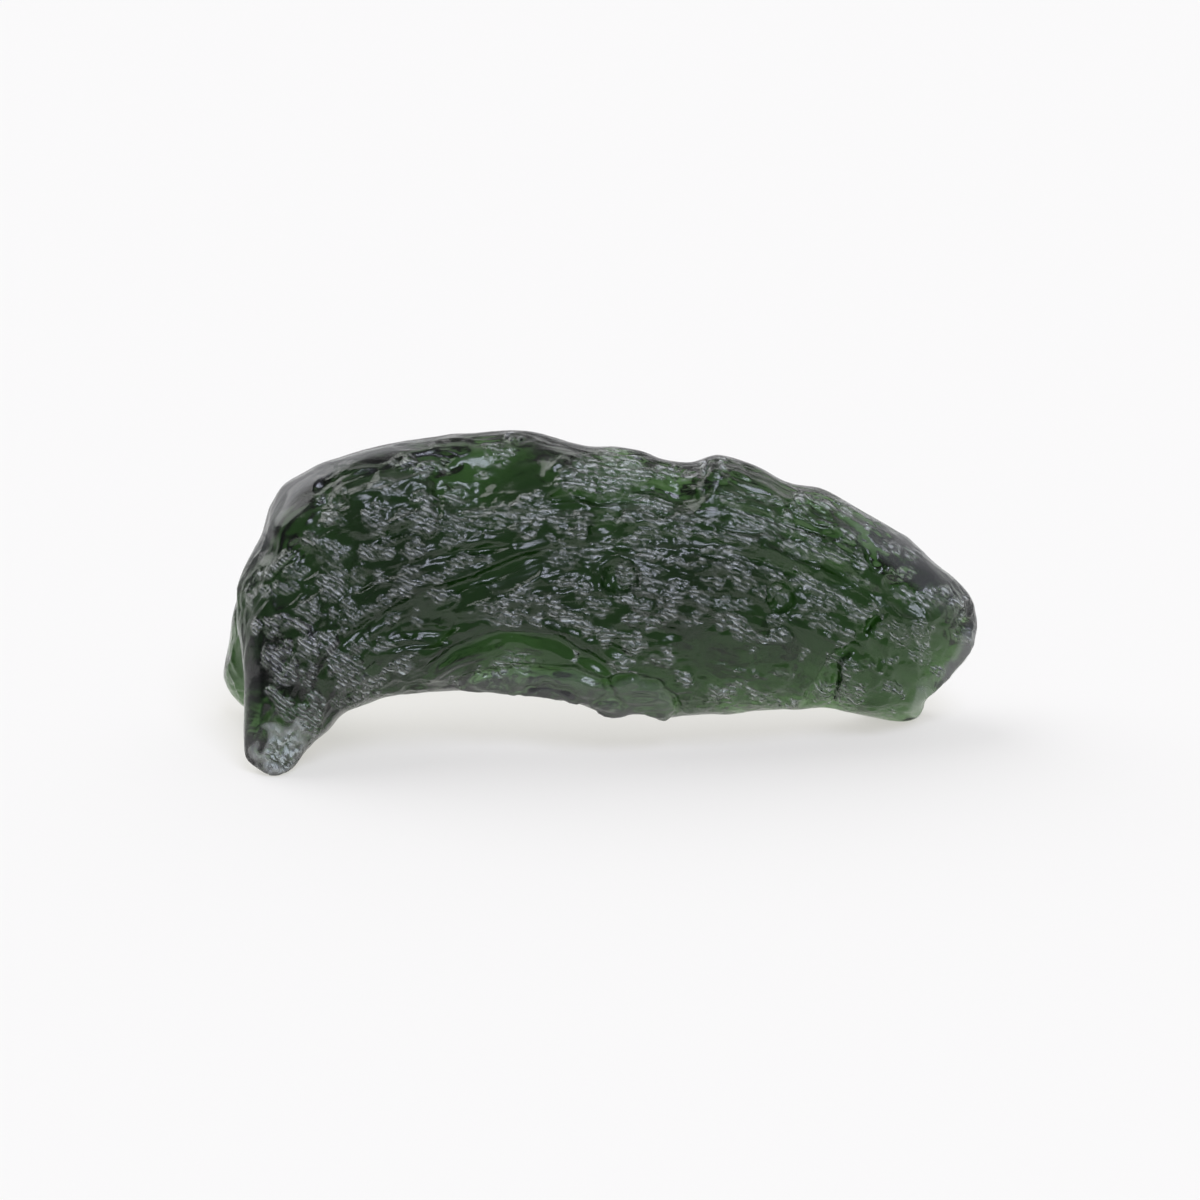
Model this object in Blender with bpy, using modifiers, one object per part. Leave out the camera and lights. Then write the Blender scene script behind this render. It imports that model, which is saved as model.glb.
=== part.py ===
"""A moldavite: one bent, sculptured piece of natural green glass that stands on three points.

Metres, +Z up. The stone is laid out upright, with its broad face in the XZ plane: x runs along it,
z runs up the face and y runs back through it. It is then leaned back onto its feet, and the origin
is put at the middle of its bounding box, on the ground.
"""

import math
import random

import bmesh
import bpy
import numpy as np
from mathutils import Matrix, Vector, kdtree, noise

MM = 0.001

# Driving dimensions. The stone is 34 mm long and 15 mm high over its broad face.
LEAN = math.radians(20)
SECTION_SQUARENESS = 2.5
# Away from the rim the small bumps of the edges are evened out over these shares of their length,
# and the section draws in by this share.
EASING_STEPS = (-0.04, -0.02, 0.0, 0.02, 0.04)
EASING_FADE = 8.0
DRAWN_IN = 0.03
RINGS = 220
RING_SIDES = 56
FORM_GRID = 0.24 * MM
WELD = 1e-7
CHIP_SMOOTHING = 1
FORM_SMOOTHING = 2
# Skin whose normal points this far towards the front belongs to the broad face.
FACE_NORMAL = -0.35
FACE_SHARPNESS = 2.2
TRIANGLES = 9300

# The edge of the stone in millimetres, as (x, z) pairs, from the front foot up the left end,
# over the back of the arch and down the right end to the right foot.
OUTER_EDGE = (
    (-14.4, -0.15), (-14.8, 0.1), (-14.85, 0.4), (-15.4, 0.6), (-15.7, 0.85), (-15.7, 1.8),
    (-15.7, 2.8), (-15.7, 3.7), (-15.75, 4.9), (-15.9, 5.9), (-16.1, 6.7), (-16.1, 8.3),
    (-15.9, 9.0), (-15.6, 9.7), (-15.2, 10.3), (-14.9, 10.8), (-14.9, 11.3), (-14.75, 11.8),
    (-14.3, 12.8), (-14.0, 13.1), (-13.2, 13.5), (-12.5, 13.9), (-11.8, 14.15), (-10.3, 14.6),
    (-9.0, 14.9), (-6.9, 15.2), (-6.5, 15.3), (-5.6, 15.25), (-4.2, 15.4), (-2.9, 15.4),
    (-2.4, 15.25), (-1.0, 14.8), (-0.4, 14.7), (0.0, 14.75), (1.7, 14.6), (2.25, 14.3),
    (2.8, 14.1), (4.1, 13.95), (4.5, 14.1), (5.0, 14.4), (5.35, 14.4), (5.85, 14.2),
    (6.9, 13.9), (8.05, 13.2), (8.7, 13.0), (9.3, 13.0), (9.9, 12.9), (10.4, 12.6),
    (11.7, 11.9), (12.1, 11.6), (13.6, 10.8), (14.1, 10.4), (15.0, 9.5), (15.7, 9.0),
    (16.5, 8.2), (16.8, 7.7), (16.95, 6.9), (16.95, 6.4), (16.8, 5.8), (16.5, 5.2),
    (15.9, 4.6), (15.7, 4.1), (15.3, 3.8), (14.9, 3.6), (14.7, 3.2), (14.6, 2.8),
    (14.3, 2.4), (13.8, 2.25),
)
# The underside of the arch, from the front foot to the right foot.
INNER_EDGE = (
    (-14.4, -0.15), (-13.95, 0.0), (-13.5, 0.3), (-13.1, 1.0), (-12.7, 1.5), (-12.2, 1.9),
    (-11.8, 2.2), (-11.65, 2.6), (-11.3, 2.9), (-10.3, 3.2), (-9.6, 3.5), (-7.7, 3.7),
    (-6.1, 3.8), (-5.3, 3.7), (-4.3, 3.7), (-3.3, 3.5), (-1.7, 3.45), (-0.7, 3.1),
    (-0.1, 2.8), (0.5, 2.75), (2.25, 2.8), (2.5, 2.6), (3.15, 2.5), (4.0, 2.7),
    (5.8, 2.7), (7.1, 2.9), (9.0, 2.9), (9.6, 3.0), (10.4, 2.9), (11.4, 2.7),
    (12.6, 2.5), (13.3, 2.3), (13.8, 2.25),
)
# How far back each line of the stone lies, as (share of the way along, millimetres).
FRONT_DEPTH = (
    (0.0, 0.3), (0.02, 0.0), (0.06, -0.4), (0.12, -0.7), (0.3, -0.9), (0.5, -0.6),
    (0.68, 0.1), (0.82, 1.4), (0.93, 3.2), (1.0, 6.7),
)
BACK_DEPTH = (
    (0.0, 0.5), (0.03, 1.4), (0.08, 3.7), (0.15, 5.7), (0.3, 6.6), (0.5, 6.3),
    (0.7, 6.9), (0.85, 7.7), (0.94, 8.1), (1.0, 7.1),
)
OUTER_DEPTH = (
    (0.0, 0.4), (0.04, 0.8), (0.1, 1.3), (0.22, 2.2), (0.32, 2.5), (0.38, 3.3),
    (0.45, 2.7), (0.53, 3.6), (0.6, 3.0), (0.67, 3.9), (0.74, 3.6), (0.8, 4.4),
    (0.93, 5.7), (1.0, 6.9),
)
INNER_DEPTH = (
    (0.0, 0.4), (0.04, 0.9), (0.12, 2.2), (0.3, 3.3), (0.5, 3.2), (0.7, 3.8),
    (0.85, 5.0), (0.95, 6.2), (1.0, 6.9),
)

# The rear leg, a spur behind the left end: its left edge, its hidden edge and its depths.
LEG_OUTER_EDGE = (
    (-15.1, 2.45), (-15.7, 2.8), (-16.2, 3.1), (-16.65, 3.55), (-16.9, 4.0), (-17.0, 4.5),
    (-16.9, 5.0), (-16.7, 5.8), (-16.5, 7.1), (-16.2, 8.0), (-15.6, 8.9), (-15.0, 9.3),
)
LEG_INNER_EDGE = ((-15.1, 2.45), (-14.1, 2.9), (-13.2, 4.2), (-12.8, 6.0), (-13.3, 8.2), (-15.0, 9.3))
LEG_FRONT_DEPTH = ((0.0, 7.4), (0.1, 5.2), (0.35, 3.0), (0.7, 2.4), (1.0, 3.6))
LEG_BACK_DEPTH = ((0.0, 7.6), (0.08, 8.5), (0.3, 8.3), (0.6, 6.9), (1.0, 3.8))
LEG_RIM_DEPTH = ((0.0, 7.5), (0.3, 6.6), (0.7, 5.0), (1.0, 3.7))

# Conchoidal chips out of the front face, each the inside of a ball that is flattened or stretched:
# the ball's middle as (x, y, z) and its half sizes, in millimetres.
FRONT_CHIPS = {
    "bowl under the arch": ((-3.4, -1.7, 2.4), (4.9, 3.4, 4.5)),
    "inner step of the bowl": ((-2.2, -1.2, 1.9), (3.4, 3.5, 3.1)),
    "chip beside the bowl": ((1.9, -1.3, 1.7), (3.3, 2.6, 3.0)),
    "small chip at the middle": ((5.4, -1.2, 1.7), (1.9, 2.2, 1.9)),
}
# Flat bevels along the rim of the front face: a point (x, y, z) where the bevel starts, the way it
# runs out to the rim as (x, z), and how steeply it falls back.
FRONT_BEVELS = {
    "left end": ((-14.8, -0.75, 5.0), (-1.0, 0.06), 1.15),
    "upper left corner": ((-13.45, -0.7, 12.1), (-0.78, 0.62), 1.5),
    "left of the top edge": ((-11.0, -0.7, 13.75), (-0.3, 0.95), 1.9),
    "right end": ((16.1, 3.0, 5.4), (0.82, -0.57), 1.3),
    "corner of the right foot": ((13.9, 4.1, 3.5), (0.72, -0.69), 1.0),
}
# Hollows in the front face: x, z, half width, half height and depth in millimetres.
FRONT_HOLLOWS = {
    "scoop at the top": (-4.7, 13.5, 2.7, 1.7, 0.7),
    "hollow right of the crest": (3.3, 12.9, 1.9, 0.9, 0.45),
    "upper pit": (0.2, 11.0, 1.0, 0.8, 0.5),
    "ring pit": (0.8, 8.8, 0.85, 0.75, 0.45),
    "pit on the right": (8.1, 7.8, 0.8, 0.9, 0.5),
    "window on the right": (6.2, 5.9, 2.9, 1.1, 0.4),
    "window by the fork": (9.0, 5.2, 1.0, 1.4, 0.45),
    "dark hollow upper left": (-12.2, 12.3, 1.4, 1.0, 0.35),
    "dark hollow far left": (-12.8, 9.0, 1.1, 1.3, 0.3),
    "hollow at mid left": (-7.6, 6.6, 2.2, 0.9, 0.4),
    "notch at the right end": (16.3, 6.7, 0.6, 0.6, 0.6),
    "shallow scoop at the right": (13.7, 8.2, 1.4, 1.2, 0.35),
    "pan above the right foot": (12.6, 5.6, 1.5, 1.0, 0.35),
}
# Long furrows that follow the bend: half width, depth and their (x, z) points. Their depth swells
# and fades as half a wave does, and a part of the wave at each end is left out.
FURROW_END = 0.35
FRONT_FURROWS = {
    "lower flow line": (0.45, 0.35, (
        (-14.2, 2.6), (-10.0, 6.0), (-6.6, 7.9), (-3.4, 9.3), (0.0, 10.1), (4.5, 10.4),
        (9.0, 8.6), (13.0, 6.2), (16.0, 4.9))),
    "upper flow line": (0.4, 0.25, (
        (-12.9, 7.4), (-9.5, 9.4), (-5.6, 11.0), (-1.5, 11.9), (3.0, 12.0), (7.5, 10.8), (11.4, 8.8))),
    "fork stem": (0.5, 0.5, ((9.2, 2.6), (9.9, 4.0), (10.4, 5.1), (11.3, 5.7))),
    "fork branch": (0.4, 0.35, ((10.3, 3.0), (10.5, 4.6))),
    "slit above the hook": (0.4, 0.35, ((11.8, 6.5), (12.1, 7.2))),
}
# Swellings of the front face: x, z, half width, half height and rise in millimetres.
FRONT_SWELLINGS = {
    "crest beside the scoop": (-1.6, 13.6, 0.8, 1.3, 0.35),
    "knob on the ridge": (5.1, 13.6, 0.9, 1.0, 0.45),
    "ridge of the lower left": (-11.6, 5.0, 2.4, 1.4, 0.35),
    "ridge above the bowl": (-3.8, 7.6, 3.6, 0.8, 0.3),
    "shoulder of the right end": (13.6, 6.9, 1.6, 1.0, 0.3),
    "middle of the face": (3.2, 7.4, 2.6, 1.0, 0.25),
}

# Shallow scallops and small pits scattered over the sides that the broad face doesn't show: how
# many, their least and greatest radius, and the share of the radius that is their depth. They lie
# behind the rim, which runs further back towards the right end, and stay clear of the feet and of
# the rear leg's edge.
BACK_SCALLOPS = (60, 1.9 * MM, 4.2 * MM, 0.2)
BACK_PITS = (60, 0.8 * MM, 1.5 * MM, 0.3)
BACK_SEED = 11
RIM_DEPTH = 3.9 * MM
RIM_SLANT = 0.08
RIM_FADE = 1.2 * MM
FOOT_HEIGHT = 0.5 * MM
FOOT_FADE = 0.9 * MM
LEG_EDGE = -15.4 * MM
LEG_FADE = 0.8 * MM
# Lumps and ripples all over, each with its size, its height and the seed of its noise.
LUMPS = (3.6 * MM, 0.34 * MM, 3)
RIPPLES = (1.3 * MM, 0.11 * MM, 8)
STONE_GREEN = (0.035, 0.065, 0.03, 1.0)


def clear_scene():
    for old in list(bpy.data.objects):
        bpy.data.objects.remove(old)


def rounded(points, steps=8):
    """Points along a smooth curve that runs through the given ones."""
    knots = np.array([points[0], *points, points[-1]], float) * MM
    path = []
    for before, start, end, after in zip(knots, knots[1:], knots[2:], knots[3:]):
        for t in np.arange(steps) / steps:
            straight = 2 * start + (end - before) * t
            bend = (2 * before - 5 * start + 4 * end - after) * t**2
            turn = (3 * start - before - 3 * end + after) * t**3
            path.append((straight + bend + turn) / 2)
    path.append(knots[-1])
    return np.array(path)


def at_share(path, share):
    """The point of a path at each share of its length."""
    steps = np.linalg.norm(np.diff(path, axis=0), axis=1)
    along = np.concatenate([[0.0], np.cumsum(steps)])
    along /= along[-1]
    return np.stack([np.interp(share, along, column) for column in path.T], axis=-1)


def eased(path, share):
    """The path's course with its small bumps evened out, except at its ends."""
    reach = np.clip(share * (1 - share) * EASING_FADE, 0, 1)
    return sum(at_share(path, share + step * reach) for step in EASING_STEPS) / len(EASING_STEPS)


def depth_at(profile, share):
    shares, depths = np.array(profile).T
    return np.interp(share, shares, depths) * MM


def signed_power(values, power):
    return np.sign(values) * np.abs(values) ** power


def sectioned_body(name, outer, inner, front, back, outer_rim, inner_rim):
    """A closed body between two edges. The rings of a sphere become its sections."""
    shape = bmesh.new()
    bmesh.ops.create_uvsphere(shape, u_segments=RING_SIDES, v_segments=RINGS, radius=1)
    places = np.array([vert.co for vert in shape.verts])
    share = np.arccos(np.clip(places[:, 2], -1, 1)) / math.pi
    turn = np.arctan2(places[:, 1], places[:, 0])
    across = signed_power(np.cos(turn), 2 / SECTION_SQUARENESS)
    through = signed_power(np.sin(turn), 2 / SECTION_SQUARENESS)
    edges = []
    for line in (rounded(outer), rounded(inner)):
        rim_line = at_share(line, share)
        edges.append(rim_line + (eased(line, share) - rim_line) * np.abs(through)[:, None])
    middle = (edges[0] + edges[1]) / 2
    drawn_in = across * (1 - DRAWN_IN * np.abs(through))
    flat = middle + drawn_in[:, None] * (edges[0] - edges[1]) / 2
    rim_middle = (depth_at(outer_rim, share) + depth_at(inner_rim, share)) / 2
    rim_slope = (depth_at(outer_rim, share) - depth_at(inner_rim, share)) / 2
    rim = rim_middle + across * rim_slope
    face = np.where(through < 0, depth_at(front, share), depth_at(back, share))
    depth = rim + (face - rim) * np.abs(through)
    for vert, (x, z), y in zip(shape.verts, flat, depth):
        vert.co = (x, y, z)
    bmesh.ops.recalc_face_normals(shape, faces=shape.faces)
    mesh = bpy.data.meshes.new(name)
    shape.to_mesh(mesh)
    shape.free()
    return mesh


def main_body():
    return sectioned_body(
        "arch", OUTER_EDGE, INNER_EDGE, FRONT_DEPTH, BACK_DEPTH, OUTER_DEPTH, INNER_DEPTH
    )


def rear_leg():
    return sectioned_body(
        "leg", LEG_OUTER_EDGE, LEG_INNER_EDGE, LEG_FRONT_DEPTH, LEG_BACK_DEPTH,
        LEG_RIM_DEPTH, LEG_RIM_DEPTH
    )


def with_modifier(mesh, kind, **settings):
    """The mesh after one modifier."""
    holder = bpy.data.objects.new("holder", mesh)
    bpy.context.collection.objects.link(holder)
    modifier = holder.modifiers.new(kind, kind)
    for setting, value in settings.items():
        setattr(modifier, setting, value)
    bpy.context.view_layer.update()
    graph = bpy.context.evaluated_depsgraph_get()
    result = bpy.data.meshes.new_from_object(holder.evaluated_get(graph))
    bpy.data.objects.remove(holder)
    return result


def grown_together(meshes):
    """The meshes as one closed skin with an even grid."""
    joined = bmesh.new()
    for mesh in meshes:
        joined.from_mesh(mesh)
    both = bpy.data.meshes.new("joined")
    joined.to_mesh(both)
    joined.free()
    return with_modifier(both, "REMESH", mode="VOXEL", voxel_size=FORM_GRID)


def ellipse_share(points, x, z, half_width, half_height):
    """1 at the middle of an ellipse on the face, falling to 0 at its edge."""
    across = (points[:, 0] / MM - x) / half_width
    up = (points[:, 2] / MM - z) / half_height
    return np.clip(1 - across**2 - up**2, 0, 1)


def furrow_share(points, half_width, line):
    """1 on a line on the face, falling to 0 at its half width, and shallow at both ends."""
    path = rounded(line)
    share = np.zeros(len(points))
    swell = np.sin(np.linspace(FURROW_END, math.pi - FURROW_END, len(path) - 1))
    for start, end, strength in zip(path, path[1:], swell):
        run = end - start
        offset = points[:, (0, 2)] - start
        along = np.clip(offset @ run / (run @ run), 0, 1)
        distance = np.linalg.norm(offset - along[:, None] * run, axis=1)
        cut = strength * np.clip(1 - (distance / (half_width * MM)) ** 2, 0, 1)
        share = np.maximum(share, cut)
    return share


def chip_surface(points, middle, half_sizes):
    """How far back the inside of a chip's ball lies behind each point of the face."""
    across = (points[:, 0] / MM - middle[0]) / half_sizes[0]
    up = (points[:, 2] / MM - middle[2]) / half_sizes[2]
    bulge = 1 - across**2 - up**2
    depth = middle[1] + half_sizes[1] * np.sqrt(np.clip(bulge, 0, 1))
    return np.where(bulge > 0, depth, -np.inf) * MM


def bevel_surface(points, start, way_out, slope):
    across = points[:, 0] / MM - start[0]
    up = points[:, 2] / MM - start[2]
    return (start[1] + slope * (across * way_out[0] + up * way_out[1])) * MM


def chipped(points):
    """The points' y after the chips and bevels have taken what stood in front of them."""
    y = points[:, 1].copy()
    for middle, half_sizes in FRONT_CHIPS.values():
        y = np.maximum(y, chip_surface(points, middle, half_sizes))
    for start, way_out, slope in FRONT_BEVELS.values():
        y = np.maximum(y, bevel_surface(points, start, way_out, slope))
    return y


def front_relief(points, facing_front):
    """How far each point moves back into the stone."""
    depth = np.zeros(len(points))
    for x, z, half_width, half_height, cut in FRONT_HOLLOWS.values():
        depth += cut * ellipse_share(points, x, z, half_width, half_height)
    for half_width, cut, line in FRONT_FURROWS.values():
        depth += cut * furrow_share(points, half_width, line)
    for x, z, half_width, half_height, rise in FRONT_SWELLINGS.values():
        depth -= rise * ellipse_share(points, x, z, half_width, half_height)
    return depth * MM * facing_front


def noise_relief(points, size, height, seed):
    shift = Vector((seed, 2 * seed, 3 * seed))
    return height * np.array([noise.noise(Vector(point) / size + shift) for point in points])


def behind_rim(points):
    """1 behind the rim, falling to 0 on the rim, on the feet and on the rear leg's edge."""
    rim = RIM_DEPTH + RIM_SLANT * points[:, 0]
    past_rim = (points[:, 1] - rim) / RIM_FADE
    height = points[:, 2] * math.cos(LEAN) - points[:, 1] * math.sin(LEAN)
    above_feet = (height - FOOT_HEIGHT) / FOOT_FADE
    inside_leg = (points[:, 0] - LEG_EDGE) / LEG_FADE
    return np.clip(past_rim, 0, 1) * np.clip(above_feet, 0, 1) * np.clip(inside_leg, 0, 1)


def back_relief(points):
    """How deep each point lies in the pits of the back, the top and the ends."""
    depth = np.zeros(len(points))
    tree = kdtree.KDTree(len(points))
    for index, point in enumerate(points):
        tree.insert(point, index)
    tree.balance()
    chance = random.Random(BACK_SEED)
    well_behind = 0.5
    behind = np.flatnonzero(behind_rim(points) > well_behind)
    for count, least, greatest, depth_share in (BACK_SCALLOPS, BACK_PITS):
        for _ in range(count):
            middle = points[chance.choice(behind)]
            radius = chance.uniform(least, greatest)
            for _place, index, distance in tree.find_range(Vector(middle), radius):
                cut = radius * depth_share * (1 - (distance / radius) ** 2)
                depth[index] = max(depth[index], cut)
    return depth * behind_rim(points)


def read_skin(mesh):
    """The mesh's points and normals as arrays."""
    points = np.empty(len(mesh.vertices) * 3)
    normals = np.empty(len(mesh.vertices) * 3)
    mesh.vertices.foreach_get("co", points)
    mesh.vertex_normals.foreach_get("vector", normals)
    return points.reshape(-1, 3), normals.reshape(-1, 3)


def write_skin(mesh, points):
    mesh.vertices.foreach_set("co", points.ravel())
    mesh.update()


def chip_front(mesh):
    points, _normals = read_skin(mesh)
    points[:, 1] = chipped(points)
    write_skin(mesh, points)


def carve(mesh):
    """Gives the chipped body its hollows, furrows, swellings, pits and lumps."""
    points, normals = read_skin(mesh)
    facing_front = np.clip(-normals[:, 1] * FACE_SHARPNESS, 0, 1)
    inside_edge = np.maximum(np.abs(normals[:, 1]), behind_rim(points))
    lumps = noise_relief(points, *LUMPS) * np.abs(normals[:, 1])
    lumps += noise_relief(points, *RIPPLES) * inside_edge
    carved = points + normals * (lumps - back_relief(points))[:, None]
    carved[:, 1] += front_relief(points, facing_front)
    write_skin(mesh, carved)


def smooth_front(mesh, times):
    """Softens the broad face. The rim keeps its outline."""
    shape = bmesh.new()
    shape.from_mesh(mesh)
    face = [vert for vert in shape.verts if vert.normal.y < FACE_NORMAL]
    for _ in range(times):
        bmesh.ops.smooth_vert(
            shape, verts=face, factor=0.5, use_axis_x=True, use_axis_y=True, use_axis_z=True
        )
    shape.to_mesh(mesh)
    shape.free()


def stand_on_flats(shape):
    """Leans the stone back and grinds its three lowest points flat on the ground."""
    bmesh.ops.rotate(shape, verts=shape.verts, cent=(0, 0, 0), matrix=Matrix.Rotation(-LEAN, 3, "X"))
    whole = shape.verts[:] + shape.edges[:] + shape.faces[:]
    bmesh.ops.bisect_plane(
        shape, geom=whole, dist=WELD, plane_co=(0, 0, 0), plane_no=(0, 0, 1), clear_inner=True
    )
    rims = [edge for edge in shape.edges if edge.is_boundary]
    bmesh.ops.holes_fill(shape, edges=rims, sides=0)
    bmesh.ops.triangulate(shape, faces=[face for face in shape.faces if len(face.verts) > 3])
    bmesh.ops.recalc_face_normals(shape, faces=shape.faces)


def centre_over_origin(shape):
    xs = [vert.co.x for vert in shape.verts]
    ys = [vert.co.y for vert in shape.verts]
    middle = Vector(((min(xs) + max(xs)) / 2, (min(ys) + max(ys)) / 2, 0))
    bmesh.ops.translate(shape, verts=shape.verts, vec=-middle)


def glass_material():
    material = bpy.data.materials.new("green natural glass")
    material.use_nodes = True
    shader = material.node_tree.nodes["Principled BSDF"]
    shader.inputs["Base Color"].default_value = STONE_GREEN
    shader.inputs["Roughness"].default_value = 0.3
    shader.inputs["Metallic"].default_value = 0.0
    return material


def make_moldavite():
    skin = grown_together([main_body(), rear_leg()])
    chip_front(skin)
    smooth_front(skin, CHIP_SMOOTHING)
    carve(skin)
    smooth_front(skin, FORM_SMOOTHING)
    share = TRIANGLES / (2 * len(skin.polygons))
    skin = with_modifier(skin, "DECIMATE", ratio=share)
    shape = bmesh.new()
    shape.from_mesh(skin)
    stand_on_flats(shape)
    centre_over_origin(shape)
    mesh = bpy.data.meshes.new("moldavite")
    shape.to_mesh(mesh)
    shape.free()
    mesh.shade_smooth()
    mesh.materials.append(glass_material())
    stone = bpy.data.objects.new("moldavite", mesh)
    collection = bpy.data.collections.new("moldavite")
    bpy.context.scene.collection.children.link(collection)
    collection.objects.link(stone)


clear_scene()
make_moldavite()
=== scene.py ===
"""The looks of a moldavite: bottle-green natural glass with an etched, wrinkled skin.

The stone is one piece. Its skin is made from the CAD solid, evened out and then etched with
hollows, long flow furrows and patches of fine wrinkles. Places on the broad face are given in
millimetres as (u, v): u runs along the stone from its middle and v runs up the leaning face from
the tip of the front foot.
"""

import math

import bmesh
import bpy
import numpy as np
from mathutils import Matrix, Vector, noise


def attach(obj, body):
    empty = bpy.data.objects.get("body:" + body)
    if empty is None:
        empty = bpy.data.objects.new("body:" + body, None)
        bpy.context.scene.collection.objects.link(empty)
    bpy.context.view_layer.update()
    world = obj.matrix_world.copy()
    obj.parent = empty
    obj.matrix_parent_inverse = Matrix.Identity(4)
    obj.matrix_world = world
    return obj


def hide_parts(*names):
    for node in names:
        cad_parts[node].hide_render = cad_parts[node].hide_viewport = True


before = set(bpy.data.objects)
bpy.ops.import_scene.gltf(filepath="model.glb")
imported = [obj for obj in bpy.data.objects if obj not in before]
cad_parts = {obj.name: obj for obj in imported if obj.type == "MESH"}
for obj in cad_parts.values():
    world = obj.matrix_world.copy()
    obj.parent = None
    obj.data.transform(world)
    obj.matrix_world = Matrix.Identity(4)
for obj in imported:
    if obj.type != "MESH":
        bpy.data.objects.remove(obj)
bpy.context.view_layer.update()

MM = 0.001

# The camera looks 20 degrees down, square onto the face, which leans back by the same angle.
LEAN = math.radians(20)
TOWARDS_CAMERA = Vector((0, -math.cos(LEAN), math.sin(LEAN)))
UP_THE_FACE = Vector((0, math.sin(LEAN), math.cos(LEAN)))
FACE_FOOT = -1.67 * MM
VIEW_TARGET = (0.0, 0.0, 6.55 * MM)
VIEW_DISTANCE = 221 * MM
LENS = 150.0

# The solid's loose triangles are joined first, at corners that are closer than WELD. The skin's
# grid is finer where the broad face carries the wrinkles. The sides are softened more often, so
# that the solid's facets don't show there.
WELD = 1e-7
SKIN_GRID = 0.188 * MM
SOFTENING_STEP = 0.5
SOFTENING = 5
SIDES_SOFTENING = 6
FINE_SOFTENING = 2
FINE_FACING = 0.25

# The line that the furrows follow round the bend of the stone.
FLOW_LINE = (
    (-14.2, 1.0), (-12.5, 4.2), (-9.5, 7.0), (-6.0, 8.9), (-2.0, 10.0), (2.0, 10.1),
    (6.0, 9.2), (10.0, 7.3), (14.0, 5.2), (17.0, 3.8),
)
# The short wrinkles run down to the right, more steeply at both ends: (u, fall of the line).
WRINKLE_LINE = (
    (-18.0, 0.0), (-14.0, -3.0), (-10.0, -5.4), (-6.0, -6.9), (-2.0, -7.5), (2.0, -7.8),
    (6.0, -8.9), (10.0, -10.7), (14.0, -12.8), (18.0, -15.0),
)

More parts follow.
